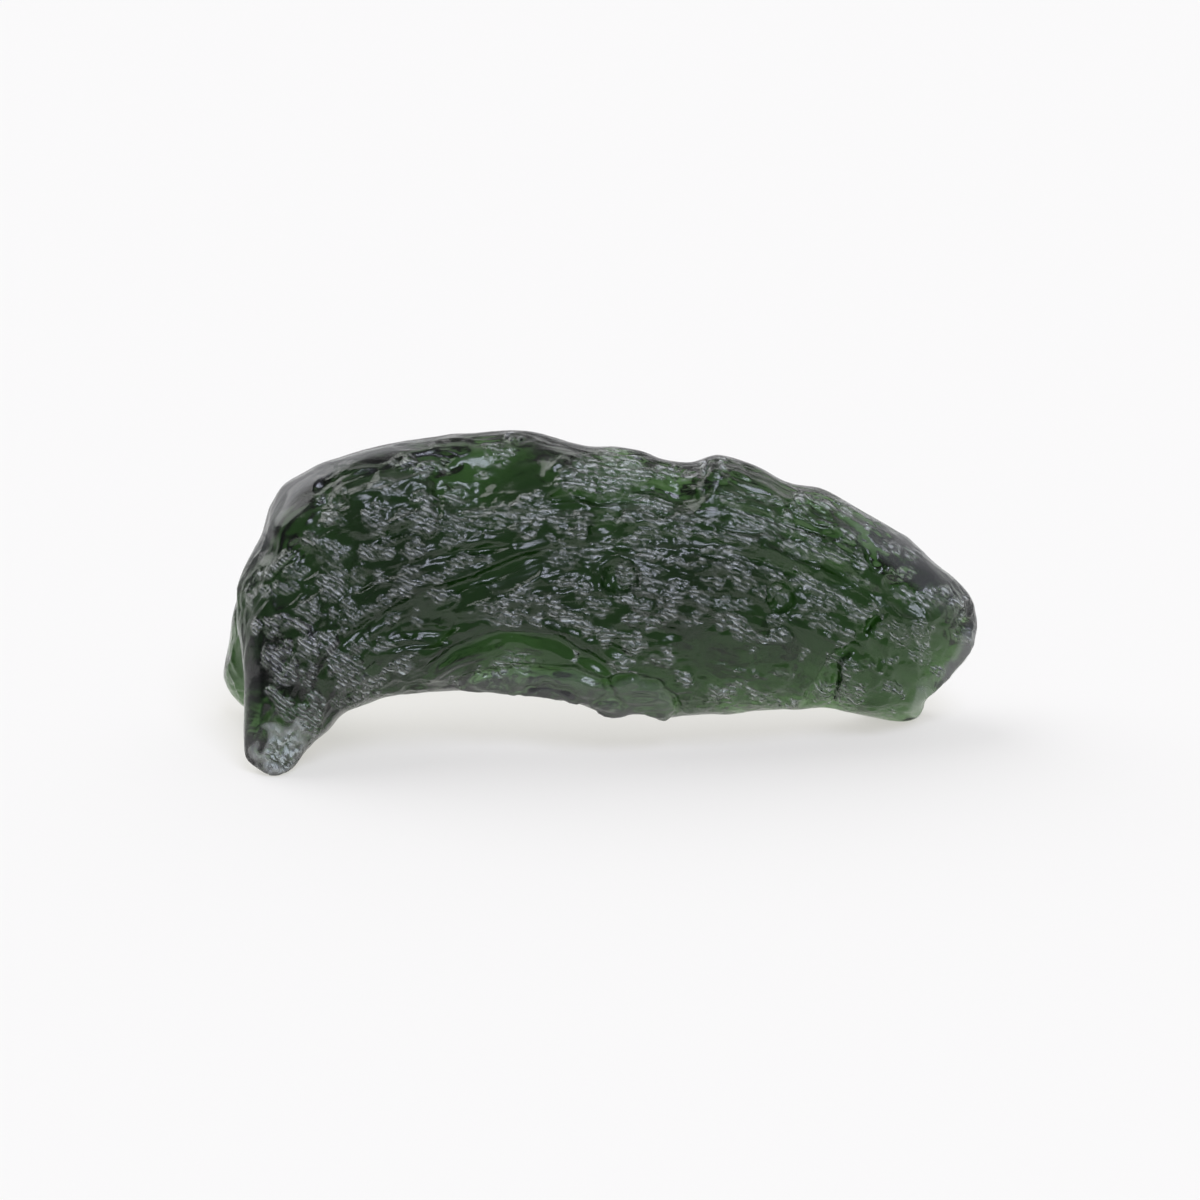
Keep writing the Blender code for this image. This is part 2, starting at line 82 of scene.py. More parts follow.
# Patches of wrinkles on the broad face: (u, v, half length, half width, turn in degrees, strength).
WRINKLED_PATCHES = {
    "under the upper left rim": (
        (-7.4, 13.7, 0.6, 0.35, 10, 0.9), (-8.5, 13.9, 0.5, 0.2, 5, 0.7),
        (-9.3, 12.8, 0.6, 0.4, 0, 0.4), (-7.7, 12.3, 0.65, 0.25, 10, 1.0),
        (-6.2, 12.6, 0.3, 0.35, 0, 0.8), (-11.8, 12.2, 0.5, 0.25, -10, 0.5),
        (-11.7, 11.4, 0.5, 0.3, -10, 1.0), (-9.8, 11.7, 0.45, 0.3, -20, 0.9),
        (-11.2, 12.5, 0.2, 0.15, 0, 0.8), (-9.7, 11.0, 0.6, 0.35, -15, 0.8),
        (-8.6, 11.5, 0.3, 0.3, 0, 0.5), (-7.6, 11.1, 0.7, 0.6, 0, 0.8),
        (-6.2, 11.1, 0.7, 0.45, 0, 0.7), (-8.1, 10.0, 0.5, 0.3, 0, 0.7),
        (-6.4, 10.4, 0.5, 0.25, 10, 0.6),
    ),
    "left end": (
        (-12.5, 10.4, 0.45, 0.35, -30, 1.0), (-11.7, 9.9, 0.6, 0.5, -40, 0.6),
        (-13.9, 9.6, 0.5, 0.25, 20, 0.8), (-14.6, 9.0, 0.35, 0.2, 20, 0.9),
        (-13.2, 9.2, 0.45, 0.2, 15, 0.7), (-13.8, 8.4, 0.45, 0.25, 20, 0.9),
        (-14.7, 8.2, 0.3, 0.25, 0, 0.6), (-15.4, 7.8, 0.2, 0.5, 0, 0.5),
        (-15.1, 6.7, 0.22, 0.25, 0, 1.4), (-11.7, 8.5, 0.65, 0.6, 0, 1.0),
        (-10.6, 8.9, 0.3, 0.4, 0, 0.5), (-10.2, 9.9, 0.4, 0.25, -10, 0.8),
        (-9.4, 10.1, 0.45, 0.45, 0, 0.7), (-9.7, 8.8, 0.25, 0.22, 0, 1.2),
        (-12.7, 7.4, 0.5, 0.45, -30, 0.6), (-13.7, 6.9, 0.5, 0.3, -30, 0.5),
        (-13.3, 6.8, 0.3, 0.18, -20, 0.9), (-12.8, 6.6, 0.18, 0.2, 0, 0.9),
    ),
    "left shoulder": (
        (-8.2, 9.0, 0.5, 0.25, 10, 0.6), (-6.3, 9.2, 0.6, 0.2, 15, 0.6),
        (-8.6, 8.3, 0.65, 0.3, 25, 0.9), (-7.4, 8.7, 0.6, 0.22, 20, 0.7),
        (-9.4, 7.7, 0.4, 0.25, 30, 0.7), (-6.8, 7.9, 0.5, 0.3, 10, 0.7),
        (-11.6, 7.3, 0.3, 0.3, 0, 0.6), (-11.0, 7.4, 0.3, 0.3, 0, 0.6),
        (-10.6, 7.0, 0.4, 0.25, 30, 0.6), (-10.2, 7.3, 0.3, 0.25, 0, 0.6),
        (-11.2, 6.6, 0.35, 0.25, -30, 0.9), (-11.9, 6.2, 0.4, 0.35, -20, 0.7),
        (-8.9, 7.0, 0.4, 0.2, 20, 0.6), (-7.9, 7.0, 0.22, 0.25, 0, 0.6),
        (-10.5, 5.8, 0.45, 0.3, 30, 0.8), (-9.5, 5.8, 0.45, 0.3, 20, 0.7),
        (-13.8, 5.8, 0.4, 0.25, -20, 0.6), (-14.2, 5.3, 0.45, 0.5, 0, 0.9),
        (-14.3, 6.6, 0.35, 0.4, 0, 0.8),
    ),
    "above the front foot": (
        (-12.8, 5.6, 0.7, 0.45, 35, 0.9), (-11.8, 5.8, 0.4, 0.4, 0, 0.8),
        (-13.7, 4.7, 0.6, 0.45, 30, 1.0), (-12.7, 4.5, 0.4, 0.4, 0, 0.9),
        (-11.1, 4.9, 0.7, 0.5, -20, 1.1), (-10.9, 4.2, 0.55, 0.4, -20, 0.9),
        (-10.1, 4.1, 0.55, 0.45, -20, 1.1), (-8.8, 4.9, 0.65, 0.28, 28, 1.3),
        (-8.1, 5.3, 0.4, 0.2, 30, 0.8), (-10.5, 3.4, 0.75, 0.2, 10, 0.8),
        (-13.8, 3.2, 0.5, 0.35, -30, 1.0), (-12.4, 3.4, 0.35, 0.35, -40, 1.0),
        (-12.5, 2.8, 0.4, 0.4, -30, 1.0), (-13.1, 3.0, 0.35, 0.35, 0, 0.7),
        (-14.3, 3.8, 0.25, 0.3, 0, 0.7), (-12.7, 2.2, 0.4, 0.3, -30, 1.2),
        (-11.4, 3.3, 0.25, 0.35, 0, 0.6),
    ),
    "scoop at the top": (
        (-4.7, 14.4, 0.4, 0.35, 0, 0.6), (-4.0, 14.3, 0.25, 0.35, 0, 0.6),
        (-4.0, 15.1, 0.15, 0.15, 0, 1.0), (-3.4, 15.1, 0.13, 0.13, 0, 0.9),
        (-5.3, 13.7, 0.25, 0.15, 0, 0.8), (-5.1, 13.3, 0.2, 0.16, 0, 1.2),
        (-4.4, 13.9, 0.3, 0.3, 0, 0.4), (-2.7, 12.5, 0.25, 0.16, 20, 1.0),
        (-3.3, 12.2, 0.45, 0.13, 0, 0.8),
    ),
    "right of the crest": (
        (-0.9, 13.2, 0.8, 0.6, 20, 1.1), (-0.4, 14.0, 0.4, 0.2, -10, 0.8),
        (0.2, 13.2, 0.5, 0.45, 0, 0.9), (0.6, 14.1, 0.5, 0.45, -20, 0.6),
        (1.5, 13.6, 0.8, 0.45, -20, 1.2), (1.1, 13.0, 0.7, 0.35, -10, 0.8),
        (0.4, 12.6, 0.5, 0.3, 0, 0.8), (1.5, 12.4, 0.45, 0.3, 0, 0.6),
        (2.5, 12.1, 0.65, 0.25, -10, 1.0), (3.0, 13.5, 0.55, 0.3, 0, 0.9),
        (3.8, 13.4, 0.4, 0.2, 0, 0.6), (4.6, 13.7, 0.15, 0.3, 0, 1.3),
        (5.4, 13.9, 0.18, 0.42, 10, 1.4),
    ),
    "middle of the face": (
        (-3.1, 11.6, 0.95, 0.5, 5, 0.9), (-4.7, 11.5, 0.75, 0.55, 0, 0.5),
        (-5.9, 11.3, 0.45, 0.4, 0, 0.7), (-3.6, 11.3, 0.5, 0.35, 0, 0.8),
        (-1.8, 11.4, 0.65, 0.4, 0, 0.6), (-0.8, 11.4, 0.45, 0.35, 0, 0.6),
        (-0.8, 10.9, 0.55, 0.22, 15, 1.0), (0.7, 12.1, 0.55, 0.35, 0, 0.4),
        (1.2, 11.5, 0.2, 0.25, 0, 1.1), (0.5, 11.4, 0.35, 0.15, 0, 0.8),
        (1.9, 11.6, 0.45, 0.3, 0, 0.6), (2.5, 11.2, 0.4, 0.2, 10, 0.9),
        (2.0, 10.8, 0.55, 0.25, 10, 0.9), (3.6, 10.8, 0.55, 0.3, -5, 0.8),
        (3.5, 11.4, 0.65, 0.25, 0, 0.6), (1.8, 10.5, 0.65, 0.22, 0, 1.0),
        (2.1, 9.9, 0.65, 0.35, -10, 0.7), (0.5, 10.4, 0.4, 0.13, -5, 0.9),
        (-2.0, 10.4, 0.5, 0.16, 5, 0.6), (-3.1, 10.7, 0.2, 0.16, 0, 1.0),
        (-1.5, 9.7, 0.9, 0.4, 10, 0.5), (-0.2, 10.0, 0.55, 0.4, 0, 0.4),
        (3.2, 9.5, 0.4, 0.12, -5, 1.0), (4.0, 9.4, 0.4, 0.12, 0, 0.9),
        (-5.0, 9.6, 0.25, 0.2, 0, 0.9), (-6.0, 9.4, 0.55, 0.35, 10, 0.6),
    ),
    "above the bowl": (
        (-1.4, 8.6, 0.5, 0.22, 10, 1.1), (-0.8, 8.2, 0.3, 0.25, 0, 0.9),
        (-3.4, 8.3, 0.55, 0.3, 15, 0.9), (-3.2, 7.8, 0.65, 0.25, 10, 1.0),
        (-4.2, 7.6, 0.25, 0.2, 0, 1.1), (-4.8, 7.5, 0.55, 0.25, 5, 0.8),
        (-4.2, 7.1, 1.0, 0.25, 0, 0.9), (-2.9, 7.0, 0.5, 0.16, -10, 0.9),
        (-2.0, 7.8, 0.4, 0.25, 0, 0.7), (-1.9, 7.3, 0.45, 0.2, -10, 0.9),
        (-1.2, 6.9, 0.65, 0.28, -20, 1.2), (-0.2, 6.4, 0.75, 0.28, -25, 1.2),
        (0.3, 6.3, 0.4, 0.25, -30, 1.1), (-0.1, 7.6, 0.5, 0.4, 0, 0.6),
        (1.0, 9.0, 0.28, 0.4, 0, 1.0), (1.2, 7.9, 0.45, 0.3, -20, 0.9),
        (1.7, 7.5, 0.35, 0.3, 0, 0.8), (1.4, 6.9, 0.4, 0.25, 0, 1.1),
        (1.6, 5.9, 0.4, 0.42, 0, 1.0), (1.0, 6.2, 0.3, 0.25, 0, 0.7),
    ),
    "right of the ring pit": (
        (2.1, 8.6, 0.65, 0.65, 0, 0.6), (3.3, 8.2, 0.4, 0.45, 0, 0.6),
        (2.8, 7.8, 0.4, 0.28, 0, 0.7), (3.0, 7.2, 0.4, 0.28, 0, 0.6),
        (2.4, 6.8, 0.4, 0.2, 0, 0.7), (3.9, 7.0, 0.45, 0.28, 0, 0.6),
        (4.3, 8.0, 0.35, 0.28, 0, 0.9), (2.9, 5.7, 0.28, 0.2, 0, 0.8),
        (2.5, 5.2, 0.4, 0.25, 0, 0.7), (3.0, 5.1, 0.32, 0.28, 0, 0.7),
        (0.9, 5.0, 0.5, 0.25, -20, 1.1), (-1.2, 5.4, 0.14, 0.18, 0, 1.6),
        (4.5, 7.9, 0.55, 0.4, -30, 0.8), (4.1, 6.9, 0.4, 0.28, 0, 0.6),
    ),
    "inside the bowl": (
        (-4.0, 5.0, 0.95, 0.4, 5, 1.1), (-5.2, 4.6, 0.25, 0.2, 0, 0.7),
        (-6.4, 4.2, 0.2, 0.15, 0, 1.0),
    ),
    "upper right": (
        (4.4, 12.7, 0.25, 0.12, -10, 0.7), (5.5, 12.3, 0.4, 0.2, -10, 0.7),
        (6.0, 11.9, 0.4, 0.16, 0, 0.7), (6.8, 12.4, 0.65, 0.1, -20, 0.8),
        (7.7, 12.2, 0.5, 0.12, -20, 0.8), (9.1, 12.4, 0.35, 0.2, -10, 0.9),
        (10.0, 12.2, 0.45, 0.25, -20, 0.9), (10.8, 11.8, 0.35, 0.25, -30, 0.8),
        (8.8, 11.9, 0.4, 0.16, -20, 0.7), (9.7, 11.3, 1.0, 0.09, -28, 1.1),
        (11.0, 10.7, 0.55, 0.28, -28, 1.1), (4.6, 11.4, 0.85, 0.2, 0, 0.7),
        (6.1, 11.5, 0.4, 0.28, 0, 0.6), (7.1, 11.1, 0.75, 0.4, -10, 0.8),
        (8.1, 11.4, 0.45, 0.16, -20, 1.0), (8.2, 11.0, 0.5, 0.2, -20, 0.9),
        (8.9, 10.7, 0.4, 0.2, -20, 0.7), (4.9, 10.7, 0.6, 0.13, 0, 1.0),
        (5.7, 10.6, 0.6, 0.2, -5, 0.9), (4.7, 10.2, 0.3, 0.11, 0, 1.0),
        (5.6, 10.0, 0.7, 0.2, -10, 0.9), (6.5, 10.3, 0.45, 0.25, -10, 0.7),
        (8.9, 10.1, 0.85, 0.32, -15, 0.9), (10.5, 9.8, 0.65, 0.38, -20, 1.0),
        (11.5, 9.6, 0.3, 0.38, 0, 0.6), (11.6, 9.3, 0.2, 0.1, 0, 1.1),
    ),
    "middle right": (
        (6.5, 9.5, 0.7, 0.1, -20, 1.1), (7.6, 9.2, 0.6, 0.11, -20, 1.1),
        (4.2, 9.4, 0.4, 0.1, 0, 0.9), (5.7, 9.2, 0.6, 0.3, 0, 0.8),
        (7.4, 9.0, 0.5, 0.2, -20, 0.8), (4.9, 8.7, 0.5, 0.1, -10, 0.6),
        (6.3, 8.6, 0.6, 0.28, -10, 0.7), (7.1, 8.1, 0.28, 0.15, 0, 1.0),
        (8.0, 8.1, 0.28, 0.24, 0, 1.1), (9.3, 8.4, 0.85, 0.2, -24, 1.0),
        (9.2, 8.8, 0.85, 0.1, -24, 0.9), (10.4, 8.1, 0.65, 0.14, -28, 1.0),
        (9.2, 7.6, 0.32, 0.28, 0, 0.8), (10.9, 7.6, 0.75, 0.2, -30, 1.2),
        (11.5, 7.2, 0.55, 0.2, -30, 1.2), (12.0, 7.4, 0.28, 0.24, 0, 0.7),
        (10.0, 7.6, 0.4, 0.24, -20, 0.8), (4.5, 7.9, 0.55, 0.4, -30, 0.8),
        (5.9, 7.7, 0.55, 0.2, -5, 0.6), (5.8, 6.9, 0.75, 0.38, -35, 1.0),
        (6.2, 6.4, 0.4, 0.28, -20, 0.9), (7.3, 6.2, 0.85, 0.2, -5, 1.0),
        (8.2, 6.1, 0.24, 0.15, 0, 1.1), (7.8, 6.9, 0.38, 0.24, 0, 0.6),
        (8.7, 7.0, 0.24, 0.15, 0, 0.9), (9.7, 6.9, 0.65, 0.32, -20, 0.6),
        (10.2, 6.5, 0.4, 0.2, -20, 0.8), (10.9, 6.3, 0.32, 0.2, -20, 0.7),
        (11.4, 8.7, 0.55, 0.15, -28, 0.6),
    ),
    "windows and fork": (
        (6.6, 5.6, 0.18, 0.1, 0, 0.7), (8.9, 5.4, 0.15, 0.2, 0, 1.1),
        (8.1, 4.5, 0.28, 0.15, 0, 0.8), (6.3, 4.7, 1.0, 0.06, -14, 0.9),
        (3.8, 4.3, 0.32, 0.28, 0, 1.0), (5.3, 3.6, 0.55, 0.36, 0, 1.1),
        (5.9, 4.0, 0.4, 0.2, -20, 0.7), (7.0, 3.7, 0.75, 0.24, -25, 1.0),
        (8.3, 3.1, 0.4, 0.2, 0, 1.0), (10.2, 5.0, 0.18, 0.45, 10, 0.8),
        (11.0, 5.1, 0.4, 0.14, 0, 0.8), (11.0, 4.7, 0.4, 0.28, 0, 0.7),
        (10.0, 3.6, 0.36, 0.36, 0, 0.8), (11.0, 3.6, 0.65, 0.55, 0, 0.7),
        (10.6, 5.8, 0.28, 0.14, 0, 1.0),
    ),
    "right end": (
        (12.4, 7.0, 0.15, 0.12, 0, 1.6), (12.4, 6.5, 0.32, 0.24, 0, 0.8),
        (13.2, 6.3, 0.36, 0.5, 20, 0.8), (14.2, 6.4, 0.4, 0.4, 0, 0.8),
        (14.4, 5.9, 0.28, 0.28, 0, 0.7), (13.5, 8.1, 0.4, 0.24, -20, 1.1),
        (14.3, 7.6, 0.38, 0.18, -30, 1.4), (14.6, 7.9, 0.5, 0.32, -20, 0.9),
        (15.4, 8.2, 0.24, 0.18, -30, 1.3), (16.0, 7.8, 0.42, 0.22, 10, 1.4),
        (16.3, 7.1, 0.15, 0.28, 0, 0.8), (16.0, 6.2, 0.42, 0.14, -30, 1.2),
        (12.9, 10.1, 0.4, 0.32, 0, 1.0), (13.9, 9.9, 0.45, 0.28, -20, 0.7),
        (12.9, 9.0, 0.2, 0.1, 0, 1.0), (11.9, 11.1, 0.12, 0.12, 0, 1.3),
        (13.5, 9.0, 0.4, 0.28, 0, 0.5), (14.2, 5.5, 0.42, 0.32, -20, 1.1),
        (14.6, 5.1, 0.28, 0.2, 0, 1.1), (15.1, 4.6, 0.28, 0.2, 0, 1.0),
        (12.9, 5.1, 0.28, 0.14, 0, 1.0), (12.7, 3.9, 0.28, 0.14, -20, 1.0),
        (12.1, 4.8, 0.42, 0.07, -20, 1.1), (13.4, 3.7, 0.45, 0.2, -35, 1.1),
        (14.2, 4.0, 0.14, 0.07, 0, 1.2), (13.1, 2.7, 0.32, 0.14, 0, 0.7),
    ),
}
# A patch is full inside and fades towards its edge. Its frost, partly painted sheen, and its
# rise go with it.
PATCH_FILL = 1.4
PATCH_FADE = 0.85
PATCH_FROST_AND_SHEEN = 0.34
PATCH_RISE = 0.05 * MM
# Each kind of unevenness below is its size along and across its line, its height or strength,
# and the seed of its noise.
PATCH_RAGS_ALONG = (0.45 * MM, 0.45 * MM, 0.3, 5)
PATCH_RAGS_UP = (0.45 * MM, 0.45 * MM, 0.3, 9)
PATCH_GAPS = (0.6 * MM, 0.25 * MM, 1.3, 14)

# Dark, smooth furrows between the patches and the lobes: half width, depth and their (u, v)
# points. They fade towards both ends, down to a least share of their depth.
LINE_FADE = 6
LINE_LEAST = 0.3
FURROWS = {
    "long lane on the left": (0.32, 0.2, (
        (-12.3, 3.4), (-12.3, 4.5), (-11.2, 5.9), (-10.0, 6.7), (-8.9, 7.3), (-7.4, 8.1),
        (-5.0, 8.8), (-3.4, 9.5), (-1.5, 10.1))),
    "short lane on the left": (0.25, 0.15, ((-14.1, 4.9), (-13.3, 5.9))),
    "upper lane": (0.3, 0.15, (
        (-11.7, 8.2), (-10.6, 8.4), (-9.9, 8.8), (-8.8, 9.1), (-7.4, 9.7), (-5.9, 10.0),
        (-3.8, 10.2))),
    "lane down from the rim": (0.3, 0.18, (
        (-7.0, 13.2), (-7.1, 11.6), (-8.1, 11.0), (-9.0, 10.7), (-10.1, 10.3))),
    "lane by the arch": (0.25, 0.15, (
        (-9.3, 5.6), (-8.1, 5.9), (-6.1, 6.1), (-4.9, 6.6))),
    "lane above the left foot": (0.2, 0.15, ((-9.6, 5.1), (-10.1, 4.6), (-10.6, 4.4))),
    "lane under the crest": (0.3, 0.25, ((-2.5, 12.3), (-0.9, 12.4), (0.0, 12.2), (1.2, 12.3))),
    "first lane on the right": (0.22, 0.16, (
        (4.9, 12.1), (6.7, 11.7), (8.9, 11.1), (10.5, 10.5))),
    "second lane on the right": (0.28, 0.18, (
        (7.6, 10.3), (8.9, 9.8), (10.6, 9.1), (11.5, 8.5), (12.6, 7.8))),
    "third lane on the right": (0.2, 0.15, (
        (3.6, 10.0), (5.8, 9.8), (7.2, 9.5), (9.0, 8.7))),
    "dark stem on the right": (0.28, 0.22, ((11.5, 10.8), (11.9, 10.1), (12.0, 9.4), (12.4, 9.1))),
    "stem of the fork": (0.3, 0.3, (
        (9.1, 3.0), (9.6, 3.9), (10.2, 4.8), (10.5, 5.3), (11.2, 5.7), (11.6, 5.5))),
    "branch of the fork": (0.2, 0.25, ((10.3, 3.2), (10.4, 4.2), (10.5, 5.0))),
    "slit above the hook": (0.16, 0.3, ((11.8, 6.4), (12.1, 6.9), (12.4, 7.1))),
    "under the arch": (0.3, 0.22, (
        (-8.0, 4.3), (-6.3, 5.6), (-4.5, 6.2), (-2.3, 6.0), (-0.4, 5.1), (1.0, 4.4))),
    "over the wide lobe": (0.22, 0.28, (
        (-6.6, 4.0), (-5.2, 4.6), (-3.8, 4.85), (-1.1, 4.7), (0.2, 4.2), (0.9, 3.4))),
    "round the round lobe": (0.2, 0.28, (
        (0.2, 4.2), (1.4, 4.5), (2.5, 4.1), (3.3, 3.4), (3.6, 2.7))),
    "between the low lobes": (0.18, 0.25, (
        (-3.6, 3.9), (-2.4, 4.1), (-1.2, 3.9), (-0.5, 3.3), (0.3, 3.6), (1.0, 3.4))),
    "left of the pit": (0.16, 0.2, ((7.9, 8.6), (7.5, 8.2), (7.5, 7.7), (7.9, 7.3))),
}
# Round pits, smooth inside: u, v, half width, half height, depth and how far the rim stands up.
# Two have a depth below 0: a knob inside the ring pit and a place that is filled up. Their
# edges are ragged, and the rim stands just outside them.
PIT_RAGS = (0.45 * MM, 0.45 * MM, 0.2, 10)
PIT_RIM = 1.1
PIT_RIM_WIDTH = 0.2
PITS = {
    "upper pit": (0.2, 11.0, 1.0, 0.8, 0.16, 0.02),
    "ring pit": (0.85, 8.8, 0.85, 0.85, 0.2, 0.05),
    "middle of the ring pit": (1.05, 8.95, 0.3, 0.35, -0.12, 0.0),
    "pit on the right": (8.0, 7.9, 0.55, 0.7, 0.25, 0.05),
    "dark hollow right of the crest": (3.4, 12.5, 1.1, 0.7, 0.2, 0.0),
    "dark hollow upper left": (-11.9, 12.9, 0.6, 0.7, 0.15, 0.0),
    "dark hollow far left": (-13.0, 10.0, 0.7, 0.6, 0.2, 0.0),
    "long hollow at mid left": (-7.6, 6.4, 1.2, 0.35, 0.2, 0.03),
    "hollow by the middle": (-0.9, 9.1, 1.0, 0.45, 0.12, 0.0),
    "hollow right of the middle": (2.8, 6.5, 0.85, 0.4, 0.12, 0.0),
    "eye on the left": (-11.3, 12.1, 0.45, 0.3, 0.15, 0.03),
    "notch at the right end": (16.3, 6.7, 0.3, 0.35, 0.35, 0.0),
    "pan by the hook": (13.6, 4.5, 0.7, 0.5, 0.15, 0.0),
    "filled window on the right": (6.2, 5.9, 2.9, 1.1, -0.3, 0.0),
    "slope left of the scoop": (-6.0, 12.5, 1.6, 1.3, 0.3, 0.0),
}
# Matte lobes like fish scales, left by splinters along the lip under the arch: u, v, half width,
# half height and rise.
LOBES = {
    "wide lobe": (-3.2, 3.2, 4.2, 1.7, 0.25),
    "right of the wide lobe": (-1.3, 3.3, 1.8, 1.6, 0.3),
    "round lobe": (1.65, 3.05, 1.75, 1.45, 0.32),
    "low lobe under the wide one": (-2.0, 3.0, 1.6, 1.15, 0.38),
    "low lobe on the left": (-5.6, 3.2, 1.5, 1.0, 0.32),
    "low lobe at the middle": (0.6, 3.0, 0.85, 0.9, 0.42),
    "low lobe on the right": (2.4, 2.75, 0.8, 0.75, 0.4),
    "strip at the right": (4.6, 2.5, 1.7, 0.55, 0.2),
}
# The lobes carry small scales and a thin frost that ends sharply at their edges.
LOBE_SCALES = (1.1 * MM, 0.5 * MM, 0.22 * MM, 8)
LOBES_FROSTED = 0.07
LOBE_EDGE = 8
# Dark pockets that lean into the stone above the lobes: u, v, half width, half height, depth.
POCKETS = {
    "under the arch": (-3.2, 5.75, 3.0, 0.75, 0.3),
    "right under the arch": (0.2, 5.3, 1.2, 0.6, 0.2),
}
# Crests that stand up from the face: half width, rise and their (u, v) points.
CRESTS = {
    "arch over the bowl": (0.35, 0.2, (
        (-8.0, 5.0), (-6.3, 6.2), (-4.5, 6.75), (-2.3, 6.6), (0.0, 5.6), (1.6, 4.6))),
    "inner arch": (0.22, 0.1, ((-7.4, 4.4), (-6.4, 5.0), (-5.2, 5.4), (-3.9, 5.7), (-2.2, 5.5))),
    "under the window": (0.1, 0.08, ((4.3, 5.1), (6.2, 4.7), (7.8, 4.3))),
    "crest beside the scoop": (0.25, 0.12, ((-2.3, 13.3), (-2.0, 13.8), (-1.3, 14.1))),
}
# Where the skin stays smooth: u, v, half width and half height. It fades in over the outer
# third.
CALM_EDGE = 3
CALM_PLACES = {
    "scoop at the top": (-4.2, 13.6, 2.6, 1.4),
    "window on the right": (6.3, 5.8, 2.8, 1.0),
    "window by the fork": (9.1, 5.2, 0.9, 1.5),
    "bowl": (-3.0, 4.4, 5.2, 2.4),
    "right of the bowl": (1.3, 3.3, 2.2, 1.5),
    "left bevel": (-15.2, 4.0, 0.7, 3.2),
    "rim at the upper left": (-13.6, 12.4, 1.6, 2.6),
    "rim at the top left": (-11.0, 14.4, 3.0, 0.6),
    "right bevel": (16.2, 4.9, 1.2, 1.4),
    "corner of the right foot": (14.2, 3.2, 0.6, 0.9),
    "above the right foot": (13.6, 4.5, 0.8, 0.6),
    "shoulder of the right end": (14.3, 9.6, 2.2, 1.7),
}

# The etched relief, and the share of it that the calm places lose.
WRINKLES = (1.6 * MM, 0.45 * MM, 0.055 * MM, 2)
DIMPLES = (1.9 * MM, 1.0 * MM, 0.11 * MM, 3)
FLOW_FURROWS = (4.5 * MM, 0.6 * MM, 0.13 * MM, 4)
STRIATIONS = (7.0 * MM, 0.3 * MM, 0.05 * MM, 5)
UNDULATIONS = (1.3 * MM, 1.3 * MM, 0.12 * MM, 7)
CALMED_FURROWS = 0.7
CALMED_STRIATIONS = 0.9
CALMED_UNDULATIONS = 0.5
STRIATED_EVERYWHERE = 0.4
STEP_WANDER = 1.6
STEP_LONG_SIDE = 0.75
DIMPLE_EDGE = 0.5
# Fine lines are drawn everywhere but in the calm places. They are stronger on the wrinkles, and
# on the right half, where that comes in over a few millimetres.
LINED_EVERYWHERE = 0.3
LINED_ON_THE_RIGHT = 0.3
RIGHT_COMES_IN = 4 * MM
# Loose patches of wrinkles on the sides, the back and the top.
SIDES_WRINKLED = 0.3
SIDES_CRUMBLED = 0.4
SIDES_FILL = 0.35
SIDE_PATCHES = (1.6 * MM, 1.1 * MM, 2.2, 12)
# Skin that leans up at this slope catches the fill light. So the steps are steeper, and the frost
# on them stronger, where the stone's own form faces further down, each within its limits. That
# frost is painted sheen, paler where the form faces away from the fill light.
LIT_RISE = 0.36
STEEPNESS = (0.4, 2.8)
SHEEN_STEEPNESS = (1.25, 1.9)
# Where the broad face starts, by how far the skin's normal points to the camera.
FACE_SHARPNESS = 5
FACE_START = 0.5
LEAST_FACING = 0.3
# The outline of the broad face keeps its course, so the relief is low where the skin turns away,
# and there is none where the stone stands on the ground.
OUTLINE_WIDTH = 0.35
OUTLINE_RELIEF = 0.25
STANDING_HEIGHT = 0.4 * MM

# The whitish, crumbled skin at the tip of the front foot: (u, v, half width, half height).
CRUST = (-13.6, 0.95, 1.5, 1.35)
CRUST_EDGE = 1.8
CRUST_RAGS = (0.6 * MM, 0.6 * MM, 0.6, 15)
CRUMBS = (0.5 * MM, 0.5 * MM, 0.8 * MM, 6)
# Bands of frosted skin: half width, share and their (u, v) points. They reach a little past the
# rim of the face. They are partly painted light: their pale frost lightens rims that would
# otherwise look dark.
BAND_FILL = 2
FROST_REACH = 4
FROST_AND_PAINTED_LIGHT_BANDS = {
    "rim at the upper left": (0.6, 0.08, (
        (-15.4, 9.9), (-14.9, 10.8), (-14.2, 11.9), (-13.6, 12.8), (-12.6, 13.6), (-11.2, 14.3),
        (-9.6, 14.8), (-7.8, 15.1))),
    "left bevel": (0.5, 0.015, ((-15.2, 9.3), (-15.4, 7.0), (-15.3, 4.0), (-15.1, 1.2))),
    "shoulder of the right end": (1.1, 0.07, (
        (11.4, 11.6), (12.6, 10.8), (13.8, 9.8), (15.0, 8.8), (16.0, 7.6))),
    "right bevel": (0.7, 0.16, ((16.8, 6.4), (16.3, 5.0), (15.4, 4.1))),
    "corner of the right foot": (0.5, 0.15, ((14.6, 3.9), (14.2, 2.5))),
}

# Moldavite bends light a little less than window glass does, and iron makes it bottle green. The
# density says how fast the other colours are lost on the way through. Its etched skin is a little
# rough, least so in the calm places, and the frosted skin is rougher, paler and less clear. Its
# pale colour is partly painted light: painted sheen on the wrinkles and painted lighter rims.
GLASS_IOR = 1.49
GLASS_GREEN = "8FB873"
GLASS_DENSITY = 1200.0
ETCHED_ROUGHNESS = 0.2
CALM_ROUGHNESS = 0.14
FROST_AND_PAINTED_LIGHT_COLOUR = "CED7D4"
FROST_ROUGHNESS = 0.4
FROST_CLEARNESS = 0.15
# One unit of the wrinkle patterns is a millimetre, drawn out a little along the wrinkles. A wave
# is then 0.22 mm wide, as the wrinkles on the real skin are, and broken every 0.24 mm or so.
WRINKLE_SPACE = (850.0, 1000.0, 1000.0)
WAVE_SCALE = 1.45
BREAK_SCALE = 4.2
WAVE_DEPTH = 0.06 * MM
